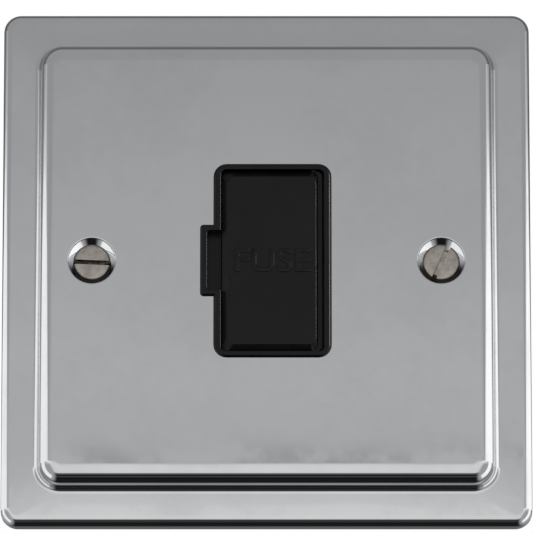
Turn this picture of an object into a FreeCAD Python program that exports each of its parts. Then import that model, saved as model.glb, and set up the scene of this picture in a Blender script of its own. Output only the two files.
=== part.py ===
import FreeCAD, Part
import os
from math import acos, asin, atan2, cos, degrees, hypot, pi, radians, sin, sqrt

from FreeCAD import Placement, Rotation, Vector

# A single fused connection unit for a standard one-gang wall box, in millimetres.
# X is right, Z is up and Y goes into the wall. The wall's face is y = 0, and the
# origin is the centre of the plate's rear rim, so what stands proud has a negative y.

# Front plate, one stepped pressing
plate_size = 91.5
plate_corner_r = 3.0
sheet_t = 1.1
band_height = 3.5  # wall to the face of the outer band
step_height = 4.5  # outer band to the face of the middle panel
outer_roll_r = 1.6
step_inset = 6.3  # plate's edge to the foot of the step
step_run = 0.7
step_corner_r = 4.0
step_foot_r = 1.0
step_crown_r = 2.3

# Fixing screws and their pressed countersinks
fixing_pitch = 60.3
countersink_r = 4.05
countersink_wall = 0.4  # depth of the plain wall above the cone
fixing_hole_r = 2.1
dimple_land = 0.35  # depth of the plain hole below the cone
fixing_head_r = 3.1
fixing_head_rim = 0.1
fixing_thread_r = 1.75
fixing_length = 25.0
fixing_slot_w = 0.8
fixing_slot_depth = 0.9
fixing_slot_turns = {"left": -2.5, "right": 66.0}
head_seat_gap = 0.05

# Opening for the fuse carrier, and the collar of the front moulding round it
opening_left = -7.86
opening_right = 9.94
opening_past_cheek = 1.35  # opening's end to the ear that holds the fuse
opening_corner_r = 0.9
collar_side_wall = 1.2
collar_end_wall = 1.0
collar_corner_r = 2.2
collar_proud = 0.5
collar_chamfer = 0.3
collar_gap = 0.1
notch_half_z = 5.3
notch_run = 2.4
notch_wall = 1.1
notch_depth = 2.7
notch_corner_r = 0.5

# Flange of the front moulding, under the plate
flange_past_housing = 1.0
flange_t = 2.0
flange_corner_r = 3.0

# Fuse carrier and its hinge
carrier_gap = 0.2
carrier_bevel_run = 1.1
carrier_bevel_drop = 0.7
carrier_sunk = 0.2  # its face lies this far behind the rim's, for its raised word
carrier_face_t = 2.0
hinge_from_wall = 1.8  # opening's right wall to the hinge axis
hinge_depth = 1.3  # carrier's face to the hinge axis
trunnion_r = 0.75
trunnion_length = 0.8
trunnion_gap = 0.08
keeper_gap = 0.1
pry_run = 2.0
pry_depth = 0.7

# Cartridge fuse, held in the carrier behind its face
fuse_length = 25.4
fuse_cap_r = 3.175
fuse_cap_length = 6.0
fuse_cap_t = 0.5
fuse_barrel_r = 2.65
cap_gap = 0.03
fuse_from_hinge_x = 8.5
fuse_from_hinge_y = 6.5
cradle_end_gap = 1.2  # cradle's end to the fuse's cap
cradle_wall = 1.2
cradle_reach = 1.3  # how far the arms pass the middle of the fuse
cradle_mouth = 4.6
cradle_gap = 0.1
cheek_gap = 0.15
cheek_t = 2.0
cheek_root_left = 5.4
cheek_root_right = 5.6

# Fuse clips, sprung from sheet
clip_t = 0.6
clip_gap = 0.22
clip_width = 5.0
clip_jaw_past = 14.0  # degrees that the jaws pass the middle of the fuse
clip_lip = 1.5
clip_lip_flare = 28.0
clip_tail_in = 8.2
clip_tail_out = 12.8
clip_pad_half_x = 2.6
clip_pad_margin = 0.6

# Rear housing
housing_side_wall = 2.55  # outside the outer terminals' wells
housing_past_terminals = 1.3
housing_past_heads = 0.6
housing_corner_r = 2.0
housing_floor = 4.0
housing_wall = 1.4
channel_gap = 0.3

# Terminals, three at each end: neutral, live and earth from left to right
terminal_pitch = 15.5
terminal_width = 7.5
terminal_depth = 8.5
terminal_length = 8.6
terminal_chamfer = 0.4
terminal_from_chamber = 1.9
well_gap = 0.2
bore_r = 2.1
bore_wall = 1.4
terminal_screw_r = 1.95
terminal_hole_gap = 0.05
terminal_screw_clear = 0.3
terminal_screw_past = 0.6  # how far its tip may pass the middle of the bore
terminal_head_r = 2.9
terminal_head_h = 1.6

# Links that join the neutral terminals and the earth terminals
link_width = 6.0
link_t = 1.0
link_end_margin = 1.2
tongue_width = 4.4
eye_r = 2.7

# Pillars on the plate and the screws that hold the mouldings to them
pillar_from_collar = 3.8
pillar_flats = 4.6  # across the flats of its hexagon
pillar_end = 1.0
pillar_gap = 0.15
pillar_bore_end = 1.0  # solid left between the bore and the plate
module_screw_r = 1.45
module_hole_gap = 0.2
thread_gap = 0.05
module_head_r = 2.6
module_head_h = 1.9
module_recess_gap = 0.3
module_screw_in = 4.6  # length of thread in the pillar

# Levels and places that follow from the sizes above
panel_y = -(band_height + step_height)
panel_rear_y = panel_y + sheet_t
split_y = panel_rear_y + flange_t
rim_y = panel_y - collar_proud
opening_half_z = fuse_length / 2 + cheek_gap + cheek_t + opening_past_cheek
collar_left = opening_left - collar_side_wall
collar_right = opening_right + collar_side_wall
collar_half_z = opening_half_z + collar_end_wall
tab_left = opening_left - notch_run - notch_wall
tab_half_z = notch_half_z + collar_end_wall
hinge_x = opening_right - hinge_from_wall
face_y = rim_y + carrier_sunk
back_y = face_y + carrier_face_t
hinge_y = face_y + hinge_depth
hinge_nose_r = hinge_from_wall - carrier_gap
carrier_half_z = opening_half_z - carrier_gap
fuse_x = hinge_x - fuse_from_hinge_x
fuse_y = hinge_y + fuse_from_hinge_y
cradle_half_z = fuse_length / 2 - fuse_cap_length - cradle_end_gap
fuse_arm = hypot(fuse_from_hinge_x, fuse_from_hinge_y)
fuse_angle = atan2(fuse_from_hinge_y, -fuse_from_hinge_x)
seat_from_fuse = fuse_cap_r + clip_gap + clip_t
seat_angle = fuse_angle - asin(seat_from_fuse / fuse_arm)
chamber_r = hinge_x - opening_left
clip_outer_z = fuse_length / 2 - fuse_cap_length / 2 + clip_width / 2
terminal_z = opening_half_z + terminal_from_chamber
terminal_seat_y = housing_floor + link_t
terminal_rear_y = terminal_seat_y + terminal_depth
bore_y = terminal_seat_y + bore_wall + bore_r
terminal_screw_travel = terminal_screw_clear + bore_r + terminal_screw_past
terminal_head_y = terminal_rear_y + terminal_screw_travel + terminal_screw_clear
housing_half_x = terminal_pitch + terminal_width / 2 + well_gap + housing_side_wall
housing_half_z = terminal_z + terminal_length + housing_past_terminals
housing_rear = terminal_head_y + terminal_head_h + housing_past_heads
flange_half_x = housing_half_x + flange_past_housing
flange_half_z = housing_half_z + flange_past_housing
tower_z = terminal_z - well_gap - housing_wall
module_x = terminal_pitch / 2
module_z = collar_half_z + pillar_from_collar
far = 2 * plate_size


def block(x0, x1, y0, y1, z0, z1):
    """A box between two corners."""
    return Part.makeBox(x1 - x0, y1 - y0, z1 - z0, Vector(x0, y0, z0))


def rod_y(radius, x, z, y0, y1):
    """A round rod along Y."""
    return Part.makeCylinder(radius, y1 - y0, Vector(x, y0, z), Vector(0, 1, 0))


def rod_z(radius, x, y, z0, z1):
    """A round rod along Z."""
    return Part.makeCylinder(radius, z1 - z0, Vector(x, y, z0), Vector(0, 0, 1))


def rounded_wire(x0, x1, z0, z1, radius, y):
    """A closed outline round a rectangle with rounded corners, in the plane at y."""
    centres = [
        (x1 - radius, z1 - radius),
        (x0 + radius, z1 - radius),
        (x0 + radius, z0 + radius),
        (x1 - radius, z0 + radius),
    ]
    arcs = []
    for quarter, (x, z) in enumerate(centres):
        turns = [(quarter + part) * pi / 2 for part in (0, 0.5, 1)]
        points = [Vector(x + radius * cos(a), y, z + radius * sin(a)) for a in turns]
        arcs.append(Part.Arc(*points).toShape())
    edges = []
    for arc, following in zip(arcs, arcs[1:] + arcs[:1]):
        edges.append(arc)
        edges.append(Part.makeLine(arc.Vertexes[-1].Point, following.Vertexes[0].Point))
    return Part.Wire(edges)


def rounded_slab(x0, x1, z0, z1, radius, y0, y1):
    """A slab with rounded corners between two levels."""
    return Part.Face(rounded_wire(x0, x1, z0, z1, radius, y0)).extrude(Vector(0, y1 - y0, 0))


def turned(profile, x, z):
    """A solid turned about the Y direction at (x, z) from its half section of (radius, y)."""
    points = [Vector(x + radius, y, z) for radius, y in profile]
    face = Part.Face(Part.makePolygon(points + points[:1]))
    return face.revolve(Vector(x, 0, z), Vector(0, 1, 0), 360)


def prism(points, z0, z1):
    """A prism along Z on a closed outline of (x, y) points."""
    corners = [Vector(x, y, z0) for x, y in points]
    face = Part.Face(Part.makePolygon(corners + corners[:1]))
    return face.extrude(Vector(0, 0, z1 - z0))


def edges_where(shape, test):
    """The edges of a shape whose every vertex meets a test."""
    return [e for e in shape.Edges if all(test(v.Point) for v in e.Vertexes)]


def level(y):
    """A test for points in the plane at y."""
    return lambda p: abs(p.y - y) < 1e-4


def mirrored(shape):
    """The same piece at the other end of the unit."""
    return shape.mirror(Vector(0, 0, 0), Vector(0, 0, 1))


def slotted(shape, x, z, top_y, width, depth, turn):
    """A screw with a driver slot across its head, turned by some degrees from X."""
    reach = 2 * countersink_r
    slot = block(-reach, reach, -depth, depth, -width / 2, width / 2)
    slot.Placement = Placement(Vector(x, top_y, z), Rotation(Vector(0, 1, 0), -turn))
    return shape.cut(slot)


def in_clip_frame(shape):
    """Place a shape drawn with X out along the clip's seat and Y from the seat to the fuse."""
    turn = Rotation(Vector(0, 0, 1), degrees(seat_angle))
    shape.Placement = Placement(Vector(hinge_x, hinge_y, 0), turn)
    return shape


def hinge_point(radius, angle):
    """The (x, y) of a point given by its radius and angle about the hinge axis."""
    return hinge_x + radius * cos(angle), hinge_y + radius * sin(angle)


# Front plate


def plate_form(inset):
    """The solid form under the plate's face, or under its inner face one sheet further in."""
    half = plate_size / 2 - inset
    band_y = -band_height + inset
    crown_y = panel_y + inset
    base = rounded_slab(-half, half, -half, half, plate_corner_r - inset, 0, band_y)
    slope = hypot(step_run, step_height)
    lean = inset * (slope - step_run) / step_height
    foot = plate_size / 2 - step_inset - lean
    crown = foot - step_run
    foot_wire = rounded_wire(-foot, foot, -foot, foot, step_corner_r - lean, band_y)
    crown_r = step_corner_r - step_run - lean
    crown_wire = rounded_wire(-crown, crown, -crown, crown, crown_r, crown_y)
    return base.fuse(Part.makeLoft([foot_wire, crown_wire], True, True))


def hollow_form():
    """The form of the plate's hollow, with its crown bevelled to keep the sheet's thickness."""
    form = plate_form(sheet_t)
    bevel = (step_crown_r - sheet_t) * (2 - sqrt(2))
    return form.makeChamfer(bevel, edges_where(form, level(panel_rear_y)))


def rounded_face(form):
    """The plate's outer form with its roll, its crown and the foot of its step rounded."""
    form = form.makeFillet(step_crown_r, edges_where(form, level(panel_y)))
    at_band = level(-band_height)
    edge = plate_size / 2 - plate_corner_r
    rolled = edges_where(form, lambda p: at_band(p) and max(abs(p.x), abs(p.z)) > edge)
    form = form.makeFillet(outer_roll_r, rolled)
    foot = edges_where(form, lambda p: at_band(p) and max(abs(p.x), abs(p.z)) < edge)
    return form.makeFillet(step_foot_r, foot)


def dimple(x):
    """The pressed seat of a fixing screw: its metal and the countersunk hole in it."""
    cone_y = panel_y + countersink_wall
    land_y = cone_y + countersink_r - fixing_hole_r
    bottom = land_y + dimple_land
    outer_r = countersink_r + sheet_t * (sqrt(2) - 1)
    slope_y = panel_rear_y + countersink_wall
    drop = bottom - slope_y
    metal = turned(
        [(0, panel_y), (outer_r, panel_y), (outer_r, slope_y), (outer_r - drop, bottom), (0, bottom)],
        x,
        0,
    )
    hole = turned(
        [
            (0, -far),
            (countersink_r, -far),
            (countersink_r, cone_y),
            (fixing_hole_r, land_y),
            (fixing_hole_r, far),
            (0, far),
        ],
        x,
        0,
    )
    return metal, hole


def collar_form(grow, y0, y1):
    """The collar's outline with the notch's tab, grown by a gap, between two levels."""
    collar = rounded_slab(
        collar_left - grow,
        collar_right + grow,
        -collar_half_z - grow,
        collar_half_z + grow,
        collar_corner_r + grow,
        y0,
        y1,
    )
    tab = rounded_slab(
        tab_left - grow,
        opening_left,
        -tab_half_z - grow,
        tab_half_z + grow,
        notch_corner_r + grow,
        y0,
        y1,
    )
    return collar.fuse(tab).removeSplitter()


def front_plate():
    plate = rounded_face(plate_form(0)).cut(hollow_form())
    for x in (-fixing_pitch / 2, fixing_pitch / 2):
        metal, hole = dimple(x)
        plate = plate.fuse(metal).cut(hole)
    return plate.cut(collar_form(collar_gap, panel_y - 1, 0)).removeSplitter()


def hexagon(flats, x, z, y0, y1):
    """A six-sided rod along Y."""
    radius = flats / sqrt(3)
    turns = [side * pi / 3 for side in range(7)]
    corners = [Vector(x + radius * cos(a), y0, z + radius * sin(a)) for a in turns]
    return Part.Face(Part.makePolygon(corners)).extrude(Vector(0, y1 - y0, 0))


def plate_pillar(x, z):
    """A tapped pillar that stands on the back of the panel."""
    pillar = hexagon(pillar_flats, x, z, panel_rear_y, pillar_end)
    bore = rod_y(module_screw_r + thread_gap, x, z, panel_rear_y + pillar_bore_end, far)
    return pillar.cut(bore)


# Mouldings


def hinge_socket():
    """The slot that a trunnion drops into from behind, at the upper end."""
    radius = trunnion_r + trunnion_gap
    end = carrier_half_z + trunnion_length + trunnion_gap
    seat = rod_z(radius, hinge_x, hinge_y, 0, end)
    return seat.fuse(block(hinge_x - radius, hinge_x + radius, hinge_y, far, 0, end))


def front_moulding():
    collar = collar_form(0, rim_y, split_y)
    collar = collar.makeChamfer(collar_chamfer, edges_where(collar, level(rim_y)))
    flange = rounded_slab(
        -flange_half_x,
        flange_half_x,
        -flange_half_z,
        flange_half_z,
        flange_corner_r,
        panel_rear_y,
        split_y,
    )
    opening = rounded_slab(
        opening_left,
        opening_right,
        -opening_half_z,
        opening_half_z,
        opening_corner_r,
        rim_y - 1,
        split_y + 1,
    )
    notch = rounded_slab(
        opening_left - notch_run,
        0,
        -notch_half_z,
        notch_half_z,
        notch_corner_r,
        rim_y - 1,
        rim_y + notch_depth,
    )
    moulding = collar.fuse(flange).cut(opening).cut(notch)
    socket = hinge_socket()
    moulding = moulding.cut(socket).cut(mirrored(socket))
    for x, z in module_places():
        moulding = moulding.cut(hexagon(pillar_flats + 2 * pillar_gap, x, z, rim_y, far))
    return moulding.removeSplitter()


def module_places():
    """Where the two pillars and their screws stand: upper left and lower right."""
    return (-module_x, module_z), (module_x, -module_z)


def fuse_chamber():
    """The drum-shaped space behind the carrier, which ends at the clips' seat."""
    drum = rod_z(chamber_r, hinge_x, hinge_y, -opening_half_z, opening_half_z)
    side = in_clip_frame(block(0, far, 0, far, -far, far))
    return drum.common(side).common(block(-far, far, split_y - 1, far, -far, far))


def chamber_cover():
    """The rounded wall over the fuse chamber, seen from behind."""
    outer_r = chamber_r + housing_wall
    drum = rod_z(outer_r, hinge_x, hinge_y, -tower_z, tower_z)
    side = in_clip_frame(block(0, far, -housing_wall, far, -far, far))
    return drum.common(side).common(block(-far, far, split_y, far, -far, far))


def terminal_well(column):
    """The open well of a terminal at the upper end. Column -1 is neutral, 0 live, 1 earth."""
    x = column * terminal_pitch
    half = terminal_width / 2 + well_gap
    floor = housing_floor if column else terminal_seat_y
    well = block(x - half, x + half, floor, far, terminal_z - well_gap, far)
    if not column:
        return well
    half_link = link_width / 2 + well_gap
    return well.fuse(block(x - half_link, x + half_link, floor, far, 0, far))


def clip_channel():
    """The way of a clip's tail out of the chamber to its live terminal, at the upper end."""
    left = -clip_pad_half_x - channel_gap
    right = hinge_point(clip_tail_in, seat_angle)[0] + channel_gap
    end = terminal_rear_y - clip_pad_margin + channel_gap
    return block(left, right, split_y - 1, end, 0, terminal_z)


def hinge_keeper():
    """The tongue that closes the slot behind a trunnion, at the upper end."""
    half = trunnion_r - keeper_gap
    top = hinge_y + trunnion_r + keeper_gap
    z0 = opening_half_z + keeper_gap
    z1 = carrier_half_z + trunnion_length
    return block(hinge_x - half, hinge_x + half, top, 0, z0, z1)


def rear_housing():
    housing = rounded_slab(
        -housing_half_x,
        housing_half_x,
        -housing_half_z,
        housing_half_z,
        housing_corner_r,
        split_y,
        housing_rear,
    )
    housing = housing.cut(block(-far, far, housing_floor, far, -tower_z, tower_z))
    housing = housing.fuse(chamber_cover()).cut(fuse_chamber())
    cuts = [terminal_well(column) for column in (-1, 0, 1)]
    cuts.append(clip_channel().cut(block(-far, far, -far, far, 0, opening_half_z)))
    cuts += [mirrored(cut) for cut in cuts]
    for (x, z), floor in zip(module_places(), (terminal_seat_y, housing_floor)):
        cuts.append(hexagon(pillar_flats + 2 * pillar_gap, x, z, -far, pillar_end + pillar_gap))
        cuts.append(rod_y(module_screw_r + module_hole_gap, x, z, -far, far))
        cuts.append(rod_y(module_head_r + module_recess_gap, x, z, floor, far))
    half_slot = tongue_width / 2 + well_gap
    cuts.append(
        block(module_x, terminal_pitch, housing_floor, far, -module_z - half_slot, -module_z + half_slot)
    )
    for cut in cuts:
        housing = housing.cut(cut)
    keeper = hinge_keeper()
    return housing.fuse(keeper).fuse(mirrored(keeper)).removeSplitter()


# Fuse carrier and fuse


def hinge_barrel():
    """The round form about the hinge axis, with ends that clear the opening's corners."""
    barrel = rod_z(hinge_nose_r, hinge_x, hinge_y, -carrier_half_z, carrier_half_z)
    rings = [e for e in barrel.Edges if len({round(v.Z, 4) for v in e.Vertexes}) == 1]
    return barrel.makeChamfer(opening_corner_r * (2 - sqrt(2)), rings).Solids[0]


def carrier_front():
    """The face plate, bevelled to the left and at both ends, with its round hinge nose."""
    left = opening_left + carrier_gap
    right = opening_right
    bevel_y = face_y + carrier_bevel_drop
    corner_r = opening_corner_r - carrier_gap
    rim = (left, right, -carrier_half_z, carrier_half_z, corner_r)
    plate = rounded_slab(*rim, bevel_y, back_y)
    run = carrier_bevel_run
    face = (left + run, right, run - carrier_half_z, carrier_half_z - run, corner_r)
    bevel = Part.makeLoft([rounded_wire(*rim, bevel_y), rounded_wire(*face, face_y)], True, True)
    beyond_hinge = block(hinge_x, far, -far, far, -far, far)
    in_front = block(-far, far, -far, face_y, -far, far)
    front = plate.fuse(bevel).cut(beyond_hinge).fuse(hinge_barrel().cut(in_front))
    return front.cut(pry_recess(left))


def pry_recess(left):
    """The undercut behind the notch, where a screwdriver lifts the carrier."""
    return block(left - 1, left + pry_run, back_y - pry_depth, far, -notch_half_z, notch_half_z)


def fuse_cradle():
    """Two arms that grip the barrel of the fuse, open towards the back."""
    bore_radius = fuse_barrel_r + cradle_gap
    half = bore_radius + cradle_wall
    arms = block(
        fuse_x - half, fuse_x + half, back_y, fuse_y + cradle_reach, -cradle_half_z, cradle_half_z
    )
    bore = rod_z(bore_radius, fuse_x, fuse_y, -far, far)
    half_mouth = cradle_mouth / 2
    mouth = block(fuse_x - half_mouth, fuse_x + half_mouth, fuse_y, far, -far, far)
    return arms.cut(bore).cut(mouth)


def tangent_point(x, y, radius, side):
    """Where a line from (x, y) touches a circle of this radius round the fuse, on one side."""
    reach = hypot(x - fuse_x, y - fuse_y)
    angle = atan2(y - fuse_y, x - fuse_x) + side * acos(radius / reach)
    return fuse_x + radius * cos(angle), fuse_y + radius * sin(angle)


def carrier_cheek():
    """The rounded ear that holds the upper end of the fuse."""
    z0 = fuse_length / 2 + cheek_gap
    z1 = z0 + cheek_t
    left = fuse_x - cheek_root_left
    right = fuse_x + cheek_root_right
    outline = [
        (left, back_y),
        tangent_point(left, back_y, fuse_cap_r, -1),
        (fuse_x, fuse_y),
        tangent_point(right, back_y, fuse_cap_r, 1),
        (right, back_y),
    ]
    ear = prism(outline, z0, z1)
    return ear.fuse(rod_z(fuse_cap_r, fuse_x, fuse_y, z0, z1))


def fuse_carrier():
    carrier = carrier_front().fuse(fuse_cradle())
    cheek = carrier_cheek()
    carrier = carrier.fuse(cheek).fuse(mirrored(cheek))
    end = carrier_half_z + trunnion_length
    carrier = carrier.fuse(rod_z(trunnion_r, hinge_x, hinge_y, -end, end))
    clip_side = block(0, far, -far, clip_t + clip_gap, -far, far)
    behind_face = block(-far, far, back_y, far, -far, far)
    clip_way = in_clip_frame(clip_side).common(behind_face).cut(hinge_barrel())
    return carrier.cut(clip_way).removeSplitter()


def fuse_barrel():
    """The ceramic body, whose ends stand in the caps."""
    half = fuse_length / 2 - fuse_cap_t
    return rod_z(fuse_barrel_r, fuse_x, fuse_y, -half, half)


def fuse_cap():
    """The upper end cap, a drawn cup over the barrel's end."""
    inner = fuse_length / 2 - fuse_cap_length
    cap = rod_z(fuse_cap_r, fuse_x, fuse_y, inner, fuse_length / 2)
    hollow = rod_z(fuse_barrel_r + cap_gap, fuse_x, fuse_y, 0, fuse_length / 2 - fuse_cap_t)
    return cap.cut(hollow)


def clip_jaw(radius, side):
    """One sprung jaw on a circle round the hinge axis, with its flared lip."""
    z0 = clip_outer_z - clip_width
    inner_r = radius if side > 0 else radius - clip_t
    ring = rod_z(inner_r + clip_t, hinge_x, hinge_y, z0, clip_outer_z)
    ring = ring.cut(rod_z(inner_r, hinge_x, hinge_y, z0 - 1, clip_outer_z + 1))
    end_angle = fuse_angle + radians(clip_jaw_past)
    sector = in_clip_frame(block(0, far, 0, far, -far, far))
    past = block(0, far, 0, far, -far, far)
    past.Placement = Placement(
        Vector(hinge_x, hinge_y, 0), Rotation(Vector(0, 0, 1), degrees(end_angle))
    )
    jaw = ring.common(sector).cut(past)
    heading = end_angle + pi / 2 - side * radians(clip_lip_flare)
    x0, y0 = hinge_point(inner_r, end_angle)
    x1, y1 = hinge_point(inner_r + clip_t, end_angle)
    dx = clip_lip * cos(heading)
    dy = clip_lip * sin(heading)
    lip = prism([(x0, y0), (x1, y1), (x1 + dx, y1 + dy), (x0 + dx, y0 + dy)], z0, clip_outer_z)
    return jaw.fuse(lip)


def fuse_clip():
    """The supply clip: two jaws on a base, and a tail with a pad on the live terminal."""
    z0 = clip_outer_z - clip_width
    inner_r = fuse_arm - fuse_cap_r - clip_gap
    outer_r = fuse_arm + fuse_cap_r + clip_gap
    base = in_clip_frame(block(inner_r - clip_t, outer_r + clip_t, 0, clip_t, z0, clip_outer_z))
    pad_z = terminal_z - clip_t
    tail = in_clip_frame(block(clip_tail_in, clip_tail_out, 0, clip_t, z0, terminal_z))
    foot_in = hinge_point(clip_tail_in, seat_angle)
    foot_out = hinge_point(clip_tail_out, seat_angle)
    pad_end = terminal_rear_y - clip_pad_margin
    pad = prism(
        [
            foot_in,
            (clip_pad_half_x, pad_end),
            (-clip_pad_half_x, pad_end),
            (-clip_pad_half_x, foot_out[1]),
            (-clip_pad_half_x, foot_in[1] + clip_t),
        ],
        pad_z,
        terminal_z,
    )
    clip = base.fuse(clip_jaw(inner_r, -1)).fuse(clip_jaw(outer_r, 1))
    return clip.fuse(tail).fuse(pad).removeSplitter()


# Terminals and links


def terminal_block(column):
    """A brass block at the upper end, bored along Z for the conductor."""
    x = column * terminal_pitch
    half = terminal_width / 2
    end = terminal_z + terminal_length
    brass = block(x - half, x + half, terminal_seat_y, terminal_rear_y, terminal_z, end)
    brass = brass.makeChamfer(terminal_chamfer, edges_where(brass, level(terminal_rear_y)))
    brass = brass.cut(rod_z(bore_r, x, bore_y, 0, far))
    middle = terminal_z + terminal_length / 2
    return brass.cut(rod_y(terminal_screw_r + terminal_hole_gap, x, middle, bore_y, far))


def headed_screw(x, z, tip, seat, shank_r, head_r, head_h):
    """A plain-headed screw along Y from its tip to the top of its head."""
    shank = rod_y(shank_r, x, z, tip, seat)
    return shank.fuse(rod_y(head_r, x, z, seat, seat + head_h))


def terminal_screw(column):
    """A screw at the upper end, backed out until the bore is clear."""
    x = column * terminal_pitch
    z = terminal_z + terminal_length / 2
    tip = bore_y + bore_r + terminal_screw_clear
    return headed_screw(x, z, tip, terminal_head_y, terminal_screw_r, terminal_head_r, terminal_head_h)


def link_bar(x):
    """A flat bar under the two terminals of one column."""
    half = link_width / 2
    end = terminal_z + terminal_length - link_end_margin
    return block(x - half, x + half, housing_floor, terminal_seat_y, -end, end)


def earth_link():
    """The earth bar, with a tongue whose eye lies under the lower module screw."""
    half = tongue_width / 2
    tongue = block(
        module_x, terminal_pitch, housing_floor, terminal_seat_y, -module_z - half, -module_z + half
    )
    eye = rod_y(eye_r, module_x, -module_z, housing_floor, terminal_seat_y)
    hole = rod_y(module_screw_r + module_hole_gap, module_x, -module_z, -far, far)
    return link_bar(terminal_pitch).fuse(tongue).fuse(eye).cut(hole).removeSplitter()


# Screws


def module_screw(x, z):
    """A screw that holds the mouldings to a pillar."""
    tip = pillar_end - module_screw_in
    return headed_screw(x, z, tip, terminal_seat_y, module_screw_r, module_head_r, module_head_h)


def fixing_screw(side):
    """A slotted countersunk screw in the plate's dimple."""
    x = fixing_pitch / 2 * (1 if side == "right" else -1)
    seat_y = panel_y + countersink_wall + countersink_r - fixing_head_r - head_seat_gap * sqrt(2)
    top = seat_y - fixing_head_rim
    neck_y = seat_y + fixing_head_r - fixing_thread_r
    tip = top + fixing_length
    screw = turned(
        [
            (0, top),
            (fixing_head_r, top),
            (fixing_head_r, seat_y),
            (fixing_thread_r, neck_y),
            (fixing_thread_r, tip),
            (0, tip),
        ],
        x,
        0,
    )
    turn = fixing_slot_turns[side]
    return slotted(screw, x, 0, top, fixing_slot_w, fixing_slot_depth, turn)


def all_pieces():
    """Every piece of the unit by its name."""
    upper, lower = module_places()
    pieces = {
        "front_plate": front_plate(),
        "plate_pillar_upper": plate_pillar(*upper),
        "plate_pillar_lower": plate_pillar(*lower),
        "front_moulding": front_moulding(),
        "rear_housing": rear_housing(),
        "fuse_carrier": fuse_carrier(),
        "fuse_barrel": fuse_barrel(),
        "fuse_cap_upper": fuse_cap(),
        "fuse_cap_lower": mirrored(fuse_cap()),
        "supply_fuse_clip": fuse_clip(),
        "load_fuse_clip": mirrored(fuse_clip()),
        "neutral_link": link_bar(-terminal_pitch),
        "earth_link": earth_link(),
        "module_screw_upper": module_screw(*upper),
        "module_screw_lower": module_screw(*lower),
        "fixing_screw_left": fixing_screw("left"),
        "fixing_screw_right": fixing_screw("right"),
    }
    for column, pole in ((-1, "neutral"), (0, "live"), (1, "earth")):
        pieces[f"supply_{pole}_terminal"] = terminal_block(column)
        pieces[f"load_{pole}_terminal"] = mirrored(terminal_block(column))
        pieces[f"supply_{pole}_screw"] = terminal_screw(column)
        pieces[f"load_{pole}_screw"] = mirrored(terminal_screw(column))
    return pieces


os.makedirs("parts", exist_ok=True)
for name, shape in all_pieces().items():
    shape.exportStep(f"parts/{name}.step")
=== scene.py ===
from math import atan2, cos, hypot, pi, radians, sin, tan

import bmesh
import bpy
from bpy.props import FloatProperty, FloatVectorProperty, IntProperty, PointerProperty
from mathutils import Matrix, Vector


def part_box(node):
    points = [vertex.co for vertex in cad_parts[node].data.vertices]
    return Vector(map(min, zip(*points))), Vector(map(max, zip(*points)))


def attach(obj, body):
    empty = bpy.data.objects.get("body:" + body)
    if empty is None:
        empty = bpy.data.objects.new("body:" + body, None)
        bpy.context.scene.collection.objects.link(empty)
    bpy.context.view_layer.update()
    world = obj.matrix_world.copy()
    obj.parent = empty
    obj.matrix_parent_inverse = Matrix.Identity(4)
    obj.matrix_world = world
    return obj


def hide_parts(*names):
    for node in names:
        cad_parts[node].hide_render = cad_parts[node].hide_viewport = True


bl_info = {
    "name": "Fused spur unit",
    "version": (1, 0, 0),
    "blender": (4, 5, 0),
    "location": "View3D > Sidebar > Spur unit",
    "description": "Dresses the packed model of a fused spur unit with finishes and fine detail",
    "category": "Object",
}

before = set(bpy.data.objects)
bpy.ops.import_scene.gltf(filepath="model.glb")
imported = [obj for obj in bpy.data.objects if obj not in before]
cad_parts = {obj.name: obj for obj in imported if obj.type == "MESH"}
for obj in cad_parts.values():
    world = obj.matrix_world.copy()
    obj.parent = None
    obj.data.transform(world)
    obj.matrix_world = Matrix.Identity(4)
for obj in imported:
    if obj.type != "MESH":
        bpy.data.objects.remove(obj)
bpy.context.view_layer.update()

MM = 0.001
WORD = "FUSE"
SAME_PLACE = 0.001 * MM
HOLE_SIDES = 72
FUSE_SIDES = 64
SCREW_SIDES = 40
SCREW_LOOK = {"sharp": radians(28), "weigh": False}


# Sizes and colours that a user may change


def length(name, millimetres, description):
    """A length property whose default is given in millimetres."""
    return FloatProperty(
        name=name, description=description, default=millimetres * MM, unit="LENGTH", precision=5
    )


def colour(name, value, description):
    """A colour property in linear values."""
    return FloatVectorProperty(
        name=name, description=description, default=value, subtype="COLOR", min=0, max=1
    )


class PlateSizes(bpy.types.PropertyGroup):
    """Sizes of the stepped plate."""

    sheet: length("Sheet", 1.1, "Thickness of the plate's metal")
    band_height: length("Band height", 3.5, "Wall to the face of the outer band")
    corner_r: length("Corner radius", 3.0, "Radius of the plate's outline at its corners")
    outer_roll_r: length("Outer roll", 1.6, "Radius of the roll round the plate's edge")
    step_inset: length("Step inset", 6.3, "Plate's edge to the foot of the step")
    step_run: length("Step run", 0.7, "Width of the step's slope seen from the front")
    step_corner_r: length("Step corner radius", 4.0, "Radius of the step's foot at its corners")
    foot_r: length("Foot radius", 1.0, "Radius between the band and the step")
    crown_r: length("Crown radius", 2.3, "Radius between the step and the panel")
    opening_gap: length("Opening gap", 0.1, "Gap between the plate and the collar in its opening")
    lip_r: length("Countersink lip", 0.14, "Radius where the panel rolls into a countersink")
    countersink_wall: length("Countersink wall", 0.4, "Depth of the plain wall above the cone")
    land: length("Countersink land", 0.35, "Depth of the plain hole under the cone")
    hole_r: length("Fixing hole", 2.1, "Radius of the hole for a fixing screw")
    countersink_r: length("Countersink radius", 4.05, "Radius of the countersink at the panel")
    corner_steps: IntProperty(
        name="Corner steps", description="Segments in a rounded corner", default=18, min=4, max=48
    )
    arc_steps: IntProperty(
        name="Arc steps", description="Segments in a roll of the metal", default=10, min=3, max=24
    )


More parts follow.
